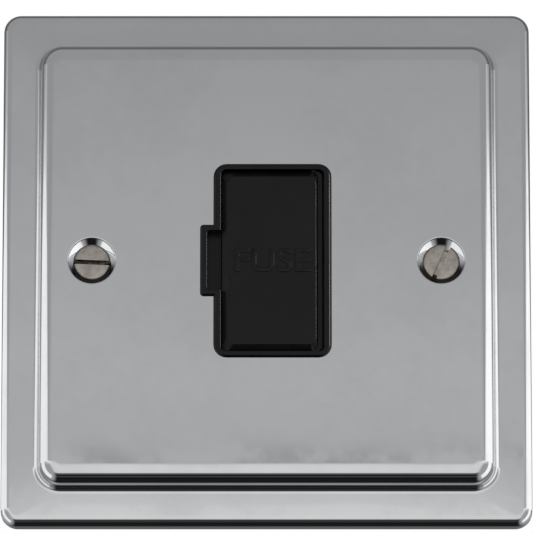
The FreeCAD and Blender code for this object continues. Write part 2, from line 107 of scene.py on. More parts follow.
class CollarSizes(bpy.types.PropertyGroup):
    """Outline of the collar in the plate's opening."""

    left: length("Left", -9.06, "Left side of the collar")
    right: length("Right", 11.14, "Right side of the collar")
    half_z: length("Half height", 17.2, "Centre of the collar to its upper end")
    corner_r: length("Corner radius", 2.2, "Radius of the collar's corners")
    tab_left: length("Tab", -11.36, "Left side of the notch's tab")
    tab_half_z: length("Tab half height", 6.3, "Centre of the tab to its upper end")
    tab_corner_r: length("Tab corner radius", 0.5, "Radius of the tab's corners")


class CarrierSizes(bpy.types.PropertyGroup):
    """The raised pad on the fuse carrier's front."""

    left: length("Left", -7.63, "Left side of the pad's foot")
    end_z: length("End", 15.97, "Plate's middle to the ends of the pad's foot")
    ridge_x: length("Ridge", 8.55, "Ridge at the pad's right side")
    ledge_x: length("Ledge", 8.9, "Left side of the ledge over the hinge")
    slope_run: length("Slope run", 1.1, "Width of the pad's slopes seen from the front")
    slope_drop: length("Slope drop", 0.68, "Height of the pad's slopes")
    pad_corner_r: length("Corner radius", 1.1, "Radius of the pad's corners")
    brow_r: length("Brow", 0.3, "Radius of the edge round the pad's face")


class WordSizes(bpy.types.PropertyGroup):
    """The raised word on the fuse carrier."""

    width: length("Width", 12.9, "Width of the word")
    height: length("Height", 4.1, "Height of its letters")
    relief: length("Relief", 0.2, "Height of the letters above the carrier's face")
    centre_x: length("Centre", 1.1, "Centre of the word, right of the plate's middle")
    centre_z: length("Height of centre", 0.0, "Centre of the word, above the plate's middle")
    bolder: length("Bolder", 0.07, "Growth of the strokes on each side")
    edge_r: length("Edge", 0.07, "Bevel of the letters' edges")


class ScrewSizes(bpy.types.PropertyGroup):
    """Fine detail of the screws."""

    pitch_fixing: length("Fixing pitch", 0.6, "Pitch of the fixing screws' thread")
    pitch_small: length("Small pitch", 0.5, "Pitch of the terminal and module screws' threads")
    thread_depth: length("Thread depth", 0.28, "Depth of the threads")
    edge_r: length("Edge", 0.22, "Chamfer of the screw heads")
    slot_fixing: length("Fixing slot", 0.8, "Width of the fixing screws' slots")
    slot_depth: length("Fixing slot depth", 0.9, "Depth of the fixing screws' slots")
    head_rim: length("Head rim", 0.1, "Plain rim round the fixing screws' heads")
    slot_small: length("Small slot", 0.8, "Width and depth of the terminal screws' slots")


class Finishes(bpy.types.PropertyGroup):
    """Colours of the finishes."""

    chrome: colour("Chrome", (0.62, 0.63, 0.64), "Polished plate")
    moulding: colour("Front plastic", (0.0012, 0.0012, 0.0014), "Black front moulding and carrier")
    housing: colour("Rear plastic", (0.016, 0.016, 0.017), "Black rear housing")
    nickel: colour("Nickel", (0.46, 0.42, 0.38), "Fixing screws")
    zinc: colour("Zinc", (0.62, 0.60, 0.53), "Terminal and module screws")
    brass: colour("Brass", (0.78, 0.58, 0.28), "Terminals, links and pillars")
    bronze: colour("Sprung sheet", (0.72, 0.46, 0.26), "Fuse clips")
    ceramic: colour("Ceramic", (0.80, 0.78, 0.72), "Fuse barrel")
    cap: colour("Cap", (0.66, 0.64, 0.60), "Fuse caps")


class StageSizes(bpy.types.PropertyGroup):
    """Camera, floor and light."""

    elevation: FloatProperty(
        name="Elevation",
        description="Camera above the horizon, below it if negative",
        default=radians(-15),
        subtype="ANGLE",
    )
    distance: length("Distance", 1500, "Camera to the plate")
    margin: length("Margin", 0.35, "Background left beside the plate")
    floor_drop: length("Floor", 1000, "Plate's centre to the floor")
    ambient: FloatProperty(
        name="Ambient", description="Level of the light from all round", default=0.95, min=0
    )


# Shader node groups


def new_group(name, inputs, *outputs):
    """An empty shader node group with inputs by their defaults, and with float outputs."""
    group = bpy.data.node_groups.new(name, "ShaderNodeTree")
    for label, default in inputs.items():
        kind = "NodeSocketFloat" if isinstance(default, float) else "NodeSocketVector"
        group.interface.new_socket(label, in_out="INPUT", socket_type=kind).default_value = default
    for label in outputs:
        group.interface.new_socket(label, in_out="OUTPUT", socket_type="NodeSocketFloat")
    return group, group.nodes.new("NodeGroupInput"), group.nodes.new("NodeGroupOutput")


def put_out(group, end, **values):
    """Link each value to the group's output of that name."""
    for label, value in values.items():
        group.links.new(value, end.inputs[label])


def feed(tree, socket, value):
    """Link a socket to a value that is a socket too, or set it to a plain value."""
    if isinstance(value, bpy.types.NodeSocket):
        tree.links.new(value, socket)
    else:
        socket.default_value = value


def noise(tree, vector, scale, detail=3.0, roughness=0.55):
    """A noise texture whose scale is a number or a socket."""
    node = tree.nodes.new("ShaderNodeTexNoise")
    values = {"Vector": vector, "Scale": scale, "Detail": detail, "Roughness": roughness}
    for label, value in values.items():
        feed(tree, node.inputs[label], value)
    return node.outputs["Fac"]


def object_place(tree):
    """The place on the piece, in metres."""
    return tree.nodes.new("ShaderNodeTexCoord").outputs["Object"]


def separated(tree, vector):
    """The X, Y and Z of a vector."""
    node = tree.nodes.new("ShaderNodeSeparateXYZ")
    tree.links.new(vector, node.inputs["Vector"])
    return node.outputs


def remap(tree, value, low, high, to_low=0.0, to_high=1.0):
    """Map a value from one range to another, smoothly and within limits."""
    node = tree.nodes.new("ShaderNodeMapRange")
    node.interpolation_type = "SMOOTHSTEP"
    limits = {"From Min": low, "From Max": high, "To Min": to_low, "To Max": to_high}
    for label, limit in {"Value": value, **limits}.items():
        feed(tree, node.inputs[label], limit)
    return node.outputs["Result"]


def fading(tree, value, low, high):
    """A mask that falls smoothly from 1 at the low limit to 0 at the high one."""
    return remap(tree, value, low, high, 1.0, 0.0)


def calculate(tree, operation, *values):
    """A math node on numbers or sockets."""
    node = tree.nodes.new("ShaderNodeMath")
    node.operation = operation
    for socket, value in zip(node.inputs, values):
        feed(tree, socket, value)
    return node.outputs["Value"]


def multiplied(tree, product, *factors):
    """The product of several numbers or sockets."""
    for factor in factors:
        product = calculate(tree, "MULTIPLY", product, factor)
    return product


def weighted(tree, first, second, share):
    """The sum of the first value's share and the rest of the second."""
    parts = ((first, share), (second, 1 - share))
    return calculate(tree, "ADD", *[multiplied(tree, value, part) for value, part in parts])


def radius_of(tree, x, z):
    """The distance of (x, z) from the origin."""
    squares = [multiplied(tree, side, side) for side in (x, z)]
    return calculate(tree, "SQRT", calculate(tree, "ADD", *squares))


def blended(tree, factor, first, second):
    """A colour between two colours, which are values or sockets."""
    node = tree.nodes.new("ShaderNodeMix")
    node.data_type = "RGBA"
    tree.links.new(factor, node.inputs["Factor"])
    for label, value in (("A", first), ("B", second)):
        socket = next(s for s in node.inputs if s.name == label and s.type == "RGBA")
        feed(tree, socket, value if isinstance(value, bpy.types.NodeSocket) else (*value, 1.0))
    return next(s for s in node.outputs if s.type == "RGBA")


def smudge_group():
    """Faint wiped smudges: a mask and a roughness between two limits."""
    inputs = {"Scale": 60.0, "Clean": 0.08, "Smudged": 0.16}
    group, start, end = new_group("wiped_smudges", inputs, "Roughness", "Mask")
    scale, clean, smudged = [start.outputs[label] for label in inputs]
    place = object_place(group)
    coarse = noise(group, place, scale, detail=4.0, roughness=0.6)
    fine = noise(group, place, multiplied(group, scale, 9.0), detail=2.0)
    mask = remap(group, weighted(group, coarse, fine, 0.75), 0.38, 0.66)
    put_out(group, end, Roughness=remap(group, mask, 0.0, 1.0, clean, smudged), Mask=mask)
    return group


def grain_group():
    """The fine skin of a moulding or a casting: a height and a speck mask."""
    group, start, end = new_group("moulded_grain", {"Scale": 3000.0}, "Height", "Speck")
    place = object_place(group)
    scale = start.outputs["Scale"]
    fine = noise(group, place, scale, detail=2.0, roughness=0.6)
    wide = noise(group, place, multiplied(group, scale, 0.18), detail=2.0)
    height = weighted(group, fine, wide, 0.7)
    put_out(group, end, Height=height, Speck=remap(group, fine, 0.58, 0.72))
    return group


def turned_group():
    """Marks left by turning round the piece's own Y axis: a height and a tone."""
    group, start, end = new_group("turning_marks", {"Rings": 9000.0}, "Height", "Tone")
    place = object_place(group)
    parts = separated(group, place)
    ring = group.nodes.new("ShaderNodeCombineXYZ")
    group.links.new(radius_of(group, parts["X"], parts["Z"]), ring.inputs["X"])
    group.links.new(parts["Y"], ring.inputs["Y"])
    height = noise(group, ring.outputs["Vector"], start.outputs["Rings"], detail=2.0)
    tone = noise(group, place, 700.0, detail=4.0, roughness=0.65)
    put_out(group, end, Height=height, Tone=remap(group, tone, 0.35, 0.68))
    return group


def drawn_group():
    """Long fine lines of rolled or sawn metal along one axis: a height and a tarnish mask."""
    inputs = {"Stretch": (3600.0, 3600.0, 240.0)}
    group, start, end = new_group("rolled_lines", inputs, "Height", "Tarnish")
    place = object_place(group)
    scaled = group.nodes.new("ShaderNodeVectorMath")
    scaled.operation = "MULTIPLY"
    group.links.new(place, scaled.inputs[0])
    group.links.new(start.outputs["Stretch"], scaled.inputs[1])
    height = noise(group, scaled.outputs["Vector"], 1.0)
    tarnish = noise(group, place, 260.0, detail=5.0, roughness=0.6)
    put_out(group, end, Height=height, Tarnish=remap(group, tarnish, 0.42, 0.7))
    return group


def recess_shade_group():
    """Painted shade in recesses between two depths along the piece's own Y axis: a mask."""
    group, start, end = new_group("painted_recess_shade", {"From": 0.0001, "To": 0.0015}, "Mask")
    place = object_place(group)
    depth = separated(group, place)["Y"]
    first, last = start.outputs["From"], start.outputs["To"]
    # painted shade: rises past the first depth and fades beyond the last
    past_first_depth = remap(group, depth, first, multiplied(group, first, 3.0))
    short_of_last_depth = fading(group, depth, last, multiplied(group, last, 1.5))
    uneven = remap(group, noise(group, place, 900.0), 0.3, 0.6, 0.75, 1.0)
    put_out(group, end, Mask=multiplied(group, past_first_depth, short_of_last_depth, uneven))
    return group


GROUP_MAKERS = {
    "wiped_smudges": smudge_group,
    "moulded_grain": grain_group,
    "turning_marks": turned_group,
    "rolled_lines": drawn_group,
    "painted_recess_shade": recess_shade_group,
}


# Materials


def new_material(name, metallic, ior=1.5):
    """The node tree and the Principled shader of a new material."""
    material = bpy.data.materials.new(f"{name}_finish")
    material.use_nodes = True
    tree = material.node_tree
    shader = tree.nodes["Principled BSDF"]
    shader.inputs["Metallic"].default_value = metallic
    shader.inputs["IOR"].default_value = ior
    return tree, shader


def use_group(tree, name, **values):
    """A node group placed in a material with its own values."""
    node = tree.nodes.new("ShaderNodeGroup")
    node.node_tree = bpy.data.node_groups.get(name) or GROUP_MAKERS[name]()
    for label, value in values.items():
        node.inputs[label].default_value = value
    return node.outputs


def surfaced(tree, shader, colour, height, strength, depth):
    """Feed a colour and a height into the shader."""
    tree.links.new(colour, shader.inputs["Base Color"])
    node = tree.nodes.new("ShaderNodeBump")
    node.inputs["Strength"].default_value = strength
    node.inputs["Distance"].default_value = depth
    tree.links.new(height, node.inputs["Height"])
    tree.links.new(node.outputs["Normal"], shader.inputs["Normal"])


def shade(base, factor):
    """A colour made lighter or darker."""
    return tuple(min(1.0, channel * factor) for channel in base)


def roughened(tree, shader, scale, clean, smudged):
    """Give a shader a roughness with wiped smudges of a scale, and return their mask."""
    wear = use_group(tree, "wiped_smudges", Scale=scale, Clean=clean, Smudged=smudged)
    tree.links.new(wear["Roughness"], shader.inputs["Roughness"])
    return wear["Mask"]


def countersink_shade_mask(tree):
    """A mask for painted shade deep in the lower half of the plate's two countersinks."""
    screw_low, screw_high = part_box("fixing_screw_right")
    screw_x = (screw_low.x + screw_high.x) / 2
    place = separated(tree, object_place(tree))
    across = calculate(tree, "SUBTRACT", calculate(tree, "ABSOLUTE", place["X"]), screw_x)
    near = fading(tree, radius_of(tree, across, place["Z"]), 4.0 * MM, 4.1 * MM)
    panel_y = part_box("front_plate")[0].y
    deep = remap(tree, place["Y"], panel_y + 0.2 * MM, panel_y + 0.5 * MM)
    sunk = fading(tree, place["Z"], -1.6 * MM, 0.6 * MM)
    return multiplied(tree, near, deep, sunk)


def chrome(base):
    """Polished chrome with faint wiped smudges, a slight waviness and painted shade deep in the
    lower half of the countersinks.
    """
    tree, shader = new_material("chrome_plate", 1.0)
    smudges = roughened(tree, shader, 45.0, 0.025, 0.065)
    tone = blended(tree, smudges, shade(base, 1.02), shade(base, 0.96))
    # painted shade: the lower half of each countersink's depths is darkened to near black
    tone = blended(tree, countersink_shade_mask(tree), tone, shade(base, 0.08))
    wave = noise(tree, object_place(tree), 70.0, detail=1.0)
    surfaced(tree, shader, tone, wave, strength=0.12, depth=0.06 * MM)


def moulded(name, base, grain, rough, strength, shine=0.5):
    """Black moulded plastic with a fine grain and handling marks."""
    tree, shader = new_material(name, 0.0, ior=1.46)
    shader.inputs["Specular IOR Level"].default_value = shine
    skin = use_group(tree, "moulded_grain", Scale=grain)
    worn = blended(tree, roughened(tree, shader, 110.0, *rough), base, shade(base, 1.35))
    dusty = blended(tree, multiplied(tree, skin["Speck"], 0.35), worn, shade(base, 3.0))
    surfaced(tree, shader, dusty, skin["Height"], strength, depth=0.04 * MM)


def turned_metal(name, base, dull, rough, shaded_depth=None):
    """Plated metal with turning marks, and with painted shade in its recesses if that has a depth.
    """
    tree, shader = new_material(name, 1.0)
    marks = use_group(tree, "turning_marks", Rings=7000.0)
    roughened(tree, shader, 420.0, *rough)
    tone = blended(tree, marks["Tone"], base, dull)
    # painted shade: recesses down to the given depth are darkened to a tenth of the base
    if shaded_depth:
        recess_darkening = use_group(tree, "painted_recess_shade", From=0.06 * MM, To=shaded_depth)
        tone = blended(tree, recess_darkening["Mask"], tone, shade(base, 0.1))
    surfaced(tree, shader, tone, marks["Height"], strength=0.35, depth=0.02 * MM)


def sheet_metal(name, base, dull, rough):
    """Rolled or sawn metal with fine lines and a little tarnish."""
    tree, shader = new_material(name, 1.0)
    lines = use_group(tree, "rolled_lines")
    roughened(tree, shader, 300.0, *rough)
    tone = blended(tree, lines["Tarnish"], base, dull)
    surfaced(tree, shader, tone, lines["Height"], strength=0.3, depth=0.02 * MM)


def ceramic(base):
    """Plain fired ceramic with small dark specks."""
    tree, shader = new_material("ceramic_barrel", 0.0, ior=1.55)
    skin = use_group(tree, "moulded_grain", Scale=1800.0)
    tone = blended(tree, roughened(tree, shader, 200.0, 0.45, 0.62), base, shade(base, 0.93))
    tone = blended(tree, skin["Speck"], tone, shade(base, 0.86))
    surfaced(tree, shader, tone, skin["Height"], strength=0.25, depth=0.03 * MM)


def make_finishes(finishes):
    """Make every finish, named after its slot. Pairs are the roughness where clean and worn."""
    chrome(finishes.chrome)
    moulded("black_moulding", finishes.moulding, 5200.0, (0.26, 0.34), strength=0.16, shine=0.25)
    moulded("black_housing", finishes.housing, 2600.0, (0.42, 0.56), strength=0.45)
    dull_nickel = shade(finishes.nickel, 0.72)
    # painted shade: nickel_screw darkens just under its head's top, shaded_slot darkens its whole
    # slot
    for name, shaded_depth in (("nickel_screw", 0.5 * MM), ("shaded_slot", 1.4 * MM)):
        turned_metal(name, finishes.nickel, dull_nickel, (0.24, 0.4), shaded_depth)
    turned_metal("plated_screw", finishes.zinc, (0.55, 0.47, 0.3), (0.24, 0.4))
    turned_metal("fuse_cap", finishes.cap, shade(finishes.cap, 0.8), (0.16, 0.3))
    ceramic(finishes.ceramic)
    sheet_metal("sprung_clip", finishes.bronze, (0.45, 0.25, 0.15), (0.22, 0.38))
    sheet_metal("brass", finishes.brass, (0.5, 0.33, 0.15), (0.2, 0.36))


def finish_of(slot):
    """The material made for a slot. The unit's are made together the first time."""
    name = f"{slot}_finish"
    if name not in bpy.data.materials:
        make_finishes(bpy.context.scene.spur_finishes)
    return bpy.data.materials[name]


# Mesh helpers


def filleted(corners, steps):
    """Points of an open profile whose inner corners are given as (u, v, radius)."""
    points = [corners[0][:2]]
    for before, (u, v, radius), after in zip(corners, corners[1:], corners[2:]):
        if not radius:
            points.append((u, v))
            continue
        to_before = atan2(before[1] - v, before[0] - u)
        to_after = atan2(after[1] - v, after[0] - u)
        opening = (to_after - to_before + pi) % (2 * pi) - pi
        middle = to_before + opening / 2
        reach = radius / sin(abs(opening) / 2)
        centre_u = u + reach * cos(middle)
        centre_v = v + reach * sin(middle)
        half = (pi - abs(opening)) / 2
        swing = 1 if opening > 0 else -1
        for step in range(steps + 1):
            angle = middle + pi + swing * (1 - 2 * step / steps) * half
            points.append((centre_u + radius * cos(angle), centre_v + radius * sin(angle)))
    points.append(corners[-1][:2])
    return points


def arc(x, z, radius, start, steps):
    """Points of a quarter turn in the XZ plane, from a start in quarters."""
    turns = [(start + step / steps) * pi / 2 for step in range(steps + 1)]
    return [(x + radius * cos(turn), z + radius * sin(turn)) for turn in turns]


def closed_below(upper, right, left):
    """An outline from the middle of its right side over its upper half, and back under it."""
    return [(right, 0.0)] + upper + [(left, 0.0)] + [(x, -z) for x, z in reversed(upper)]


def collar_outline(collar, grow, steps):
    """The collar with its tab, grown by a gap, from the middle of its right side over the top."""
    radius = collar.corner_r + grow
    tab_r = collar.tab_corner_r + grow
    right = collar.right + grow
    left = collar.left - grow
    top = collar.half_z + grow
    tab_left = collar.tab_left - grow
    tab_top = collar.tab_half_z + grow
    upper = arc(right - radius, top - radius, radius, 0, steps)
    upper += arc(left + radius, top - radius, radius, 1, steps)
    upper += [(left, tab_top)] + arc(tab_left + tab_r, tab_top - tab_r, tab_r, 1, steps)
    return closed_below(upper, right, tab_left)


def slab_outline(left, right, half_z, radius, steps):
    """A rounded rectangle from the middle of its right side over the top."""
    upper = arc(right - radius, half_z - radius, radius, 0, steps)
    upper += arc(left + radius, half_z - radius, radius, 1, steps)
    return closed_below(upper, right, left)


def circle_outline(x, radius, count):
    """A circle round (x, 0) that starts on its right and goes over the top."""
    turns = [2 * pi * step / count for step in range(count)]
    return [(x + radius * cos(turn), radius * sin(turn)) for turn in turns]


def add_loop(bm, outline, y):
    """The vertices of an outline in the plane at y."""
    return [bm.verts.new((x, y, z)) for x, z in outline]


def bridge(bm, first, second):
    """Faces between two loops of as many vertices."""
    count = len(first)
    for i in range(count):
        j = (i + 1) % count
        bm.faces.new((first[i], first[j], second[j], second[i]))


def bridge_all(bm, loops):
    """Faces between each loop and the next."""
    for first, second in zip(loops, loops[1:]):
        bridge(bm, first, second)


def pierced_panel(bm, rim, holes):
    """A flat panel between a rim and the holes in it."""
    edges = []
    for loop in [rim] + holes:
        edges += [bm.edges.get(pair) for pair in zip(loop, loop[1:] + loop[:1])]
    bmesh.ops.triangle_fill(bm, edges=edges, use_beauty=True)


def lathed(bm, profile, count, radius_at=None):
    """A closed solid turned round the Y axis from its half section of (radius, y)."""
    loops = []
    turns = [2 * pi * step / count for step in range(count)]
    for radius, y in profile:
        radii = [radius_at(radius, y, turn) if radius_at else radius for turn in turns]
        loops.append([bm.verts.new((r * cos(t), y, r * sin(t))) for r, t in zip(radii, turns)])
    bridge_all(bm, loops)
    bm.faces.new(loops[0])
    bm.faces.new(loops[-1])


def cut_mesh(bm, cutter):
    """A mesh less a closed cutter, both given as bmeshes in the same place."""
    body = mesh_object(bm, "cut_body")
    tool = mesh_object(cutter, "cut_tool")
    modifier = body.modifiers.new("cut", "BOOLEAN")
    modifier.operation = "DIFFERENCE"
    modifier.solver = "EXACT"
    modifier.object = tool
    graph = bpy.context.evaluated_depsgraph_get()
    result = bmesh.new()
    result.from_mesh(body.evaluated_get(graph).to_mesh())
    for scratch in (body, tool):
        data = scratch.data
        bpy.data.objects.remove(scratch)
        bpy.data.meshes.remove(data)
    return result


def new_object(name, data):
    """An object in the scene with the given data."""
    piece = bpy.data.objects.new(name, data)
    bpy.context.scene.collection.objects.link(piece)
    return piece


def mesh_object(bm, name):
    """An object made from a bmesh, which is freed."""
    bmesh.ops.recalc_face_normals(bm, faces=bm.faces)
    mesh = bpy.data.meshes.new(name)
    bm.to_mesh(mesh)
    bm.free()
    return new_object(name, mesh)


def finished(piece, slot, body, sharp=radians(35), weigh=True, finish=None):
    """Smooth a piece up to its sharp edges, give it a finish and let it ride on its body."""
    mesh = piece.data
    mesh.shade_smooth()
    mesh.set_sharp_from_angle(angle=sharp)
    if weigh:
        weighted = piece.modifiers.new("flat_faces_stay_flat", "WEIGHTED_NORMAL")
        weighted.keep_sharp = True
        weighted.weight = 90
    mesh.materials.clear()
    mesh.materials.append(finish_of(finish or slot))
    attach(piece, body)


def stands_for(piece, node, slot, body, place=(0, 0, 0), **look):
    """Finish a piece in its place, where it stands for its node."""
    piece.location = place
    finished(piece, slot, body, **look)
    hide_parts(node)


def round_edges(bm, edges, radius, segments):
    """Round the given edges of a mesh."""
    shape = {"offset_type": "OFFSET", "profile": 0.5, "affect": "EDGES", "clamp_overlap": True}
    bmesh.ops.bevel(bm, geom=edges, offset=radius, segments=segments, **shape)
    bm.normal_update()


def tidied(bm):
    """Join a mesh's doubled points and its flat facets."""
    bmesh.ops.remove_doubles(bm, verts=bm.verts, dist=SAME_PLACE)
    bmesh.ops.dissolve_limit(bm, angle_limit=radians(0.5), verts=bm.verts, edges=bm.edges)
    bm.normal_update()


def softened_copy(node, name, slot, body, edge, brow=0.0, cutter=None):
    """A copy of a CAD node with its sharp edges broken, which stands for it.

    A cutter is taken from it first. The brow is the radius round its front face, where it differs.
    """
    bm = bmesh.new()
    bm.from_mesh(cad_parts[node].data)
    tidied(bm)
    if cutter:
        bm = cut_mesh(bm, cutter)
        tidied(bm)
    if brow:
        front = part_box(node)[0].y + 0.005 * MM
        outline = [e for e in bm.edges if e.is_manifold and all(v.co.y < front for v in e.verts)]
        round_edges(bm, [e for e in outline if e.calc_face_angle() > radians(25)], brow, 3)
    corners = [e for e in bm.edges if e.is_manifold and e.calc_face_angle() > radians(32)]
    round_edges(bm, corners, edge, 2)
    stands_for(mesh_object(bm, name), node, slot, body)


# Pieces


class SPUR_OT_plate(bpy.types.Operator):
    """Press the stepped chrome plate with its two countersinks and its opening"""

    bl_idname = "spur.plate"
    bl_label = "Front plate"

    def execute(self, context):
        plate = context.scene.spur_plate
        low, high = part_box("front_plate")
        self.half = (high.x - low.x) / 2
        self.panel_y = low.y
        bm = bmesh.new()
        outer = self.skin(bm, plate, 0.0)
        inner = self.skin(bm, plate, plate.sheet)
        bridge(bm, outer[0], inner[0])
        outline = collar_outline(context.scene.spur_collar, plate.opening_gap, 6)
        front = add_loop(bm, outline, self.panel_y)
        back = add_loop(bm, outline, self.panel_y + plate.sheet)
        bridge(bm, front, back)
        left = self.countersink(bm, plate, self.screw_x("left"))
        right = self.countersink(bm, plate, self.screw_x("right"))
        pierced_panel(bm, outer[-1], [left[0], front, right[0]])
        pierced_panel(bm, inner[-1], [left[-1], back, right[-1]])
        stands_for(mesh_object(bm, "pressed_plate"), "front_plate", "chrome_plate", "unit")
        return {"FINISHED"}

    def screw_x(self, side):
        """Where a fixing screw stands."""
        low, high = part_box(f"fixing_screw_{side}")
        return (low.x + high.x) / 2

    def skin(self, bm, plate, inset):
        """The loops of one face of the sheet, from the wall in to the panel's edge."""
        step_height = -self.panel_y - plate.band_height
        slope = hypot(plate.step_run, step_height)
        lean = inset * (slope - plate.step_run) / step_height
        foot = plate.step_inset + lean
        band_y = inset - plate.band_height
        crown = foot + plate.step_run
        crown_end = crown + plate.crown_r * 1.2
        corners = [
            (inset, 0.0, 0),
            (inset, band_y, plate.outer_roll_r - inset),
            (foot, band_y, plate.foot_r + inset),
            (crown, self.panel_y + inset, plate.crown_r - inset),
            (crown_end, self.panel_y + inset, 0),
        ]
        profile = filleted(corners, plate.arc_steps)
        loops = []
        for point_inset, y in profile:
            on_step = point_inset > (plate.outer_roll_r + plate.step_inset) / 2
            start_r = plate.step_corner_r + plate.step_inset if on_step else plate.corner_r
            radius = start_r - point_inset
            half = self.half - point_inset
            outline = slab_outline(-half, half, half, radius, plate.corner_steps)
            loops.append(add_loop(bm, outline, y))
        bridge_all(bm, loops)
        return loops

    def countersink(self, bm, plate, x):
        """The loops of one pressed countersink, from the panel's face round to its back."""
        cone_y = self.panel_y + plate.countersink_wall
        cone_end = cone_y + plate.countersink_r - plate.hole_r
        bottom = cone_end + plate.land
        back_y = self.panel_y + plate.sheet
        slope_y = back_y + plate.countersink_wall
        back_r = plate.countersink_r + plate.sheet * tan(radians(22.5))
        drop = bottom - slope_y
        bend = 0.1 * MM
        corners = [
            (plate.countersink_r + plate.sheet, self.panel_y, 0),
            (plate.countersink_r + 1.5 * plate.lip_r, self.panel_y, 0),
            (plate.countersink_r, self.panel_y, plate.lip_r),
            (plate.countersink_r, cone_y, 0.5 * bend),
            (plate.hole_r, cone_end, bend),
            (plate.hole_r, bottom, 0),
            (back_r - drop, bottom, bend),
            (back_r, slope_y, bend),
            (back_r, back_y, 0.5 * plate.sheet),
            (back_r + plate.sheet, back_y, 0),
        ]
        profile = filleted(corners, 5)
        loops = [add_loop(bm, circle_outline(x, radius, HOLE_SIDES), y) for radius, y in profile]
        bridge_all(bm, loops)
        return loops


class SPUR_OT_mouldings(bpy.types.Operator):
    """Break the sharp edges of the front moulding and the rear housing"""

    bl_idname = "spur.mouldings"
    bl_label = "Mouldings"

    def execute(self, context):
        front = ("front_moulding", "collar_moulding", "black_moulding", "unit")
        softened_copy(*front, edge=0.12 * MM, brow=0.24 * MM)
        softened_copy("rear_housing", "terminal_housing", "black_housing", "unit", edge=0.2 * MM)
        return {"FINISHED"}


class SPUR_OT_carrier(bpy.types.Operator):
    """Finish the fuse carrier and raise its word"""

    bl_idname = "spur.carrier"
    bl_label = "Fuse carrier"

    def execute(self, context):
        sizes = context.scene.spur_carrier
        moulding = ("fuse_carrier", "carrier", "black_moulding", "carrier")
        softened_copy(*moulding, edge=0.1 * MM, brow=sizes.brow_r, cutter=self.surround(sizes))
        word = self.raised_word(context.scene.spur_word)
        finished(word, "black_moulding", "carrier", sharp=radians(50))
        return {"FINISHED"}

    def surround(self, sizes):
        """A cutter for what stands round the raised pad: its slopes and a ledge over the hinge."""
        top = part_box("fuse_carrier")[0].y
        end, left, run = sizes.end_z, sizes.left, sizes.slope_run
        corner = (sizes.pad_corner_r, 6)
        pad = slab_outline(left + run, sizes.ridge_x, end - run, *corner)
        foot = slab_outline(left, sizes.ledge_x, end, *corner)
        past = slab_outline(left - 1 * MM, sizes.ledge_x + 1.5 * MM, end + 0.05 * MM, *corner)
        bm = bmesh.new()
        above, brink, drop = top - 0.3 * MM, top - 0.02 * MM, top + sizes.slope_drop
        levels = ((pad, above), (pad, brink), (foot, drop), (past, drop), (past, above))
        loops = [add_loop(bm, outline, y) for outline, y in levels]
        bridge_all(bm, loops + loops[:1])
        return bm

    def raised_word(self, word):
        """The letters as a mesh on the carrier's face."""
        curve = bpy.data.curves.new("word_curve", "FONT")
        curve.body = WORD
        curve.align_x = "CENTER"
        curve.align_y = "CENTER"
        curve.resolution_u = 6
        letters = new_object("word_curve", curve)
        bpy.context.view_layer.update()
        scale_x = word.width / letters.dimensions.x
        scale_z = word.height / letters.dimensions.y
        middle = sum((Vector(c) for c in letters.bound_box), Vector()) / 8
        curve.extrude = 0.5 * word.relief / scale_z
        curve.bevel_depth = word.edge_r / scale_z
        curve.bevel_resolution = 1
        curve.offset = (word.bolder - word.edge_r) / scale_z
        mesh = bpy.data.meshes.new_from_object(letters)
        bpy.data.objects.remove(letters)
        middle_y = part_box("fuse_carrier")[0].y + word.edge_r - 0.5 * word.relief
        place = Matrix.Translation((word.centre_x, middle_y, word.centre_z))
        turn = Matrix.Rotation(pi / 2, 4, "X")
        size = Matrix.Diagonal((scale_x, scale_z, scale_z, 1.0))
        mesh.transform(place @ turn @ size @ Matrix.Translation(-middle))
        bm = bmesh.new()
        bm.from_mesh(mesh)
        bpy.data.meshes.remove(mesh)
        bmesh.ops.remove_doubles(bm, verts=bm.verts, dist=SAME_PLACE)
        return mesh_object(bm, "raised_word")


class SPUR_OT_fuse(bpy.types.Operator):
    """Turn the fuse's ceramic barrel and draw its two caps"""

    bl_idname = "spur.fuse"
    bl_label = "Cartridge fuse"

    def execute(self, context):
        low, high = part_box("fuse_barrel")
        centre = (low + high) / 2
        radius = (high.x - low.x) / 2
        half = (high.z - low.z) / 2
        chamfer = 0.3 * MM
        lower = [(radius - chamfer, -half), (radius, chamfer - half)]
        profile = lower + [(radius, half - chamfer), (radius - chamfer, half)]
        bm = bmesh.new()
        lathed(bm, profile, FUSE_SIDES)
        self.place(mesh_object(bm, "ceramic_barrel"), centre, "fuse_barrel", "ceramic_barrel")
        for node, side in (("fuse_cap_upper", 1), ("fuse_cap_lower", -1)):
            self.cap(node, side, radius)
        return {"FINISHED"}

    def cap(self, node, side, barrel_r):
        """One drawn cup with a rounded rim, a shallow ring and a slight dimple in its end."""
        low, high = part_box(node)
        radius = (high.x - low.x) / 2
        half = (high.z - low.z) / 2
        gap, ring, dimple = 0.03 * MM, 0.12 * MM, 0.1 * MM
        inner = barrel_r + gap
        wall = radius - inner
        corners = [
            (inner, half - wall, 0),
            (inner, -half, 0.1 * MM),
            (radius, -half, 0.2 * MM),
            (radius, 0.3 * half, 0),
            (radius - ring, 0.36 * half, 0),
            (radius, 0.42 * half, 0),
            (radius, half, 0.5 * MM),
            (0.55 * radius, half, 0),
        ]
        profile = filleted(corners, 5) + [(0.45 * radius, half - dimple)]
        bm = bmesh.new()
        lathed(bm, [(r, side * y) for r, y in profile], FUSE_SIDES)
        piece = mesh_object(bm, node.replace("fuse_cap", "drawn_cap"))
        self.place(piece, (low + high) / 2, node, "fuse_cap")

    def place(self, piece, centre, node, slot):
        """Lay a piece turned round Y along Z at the fuse, in the place of its node."""
        piece.data.transform(Matrix.Rotation(pi / 2, 4, "X"))
        stands_for(piece, node, slot, "carrier", centre)


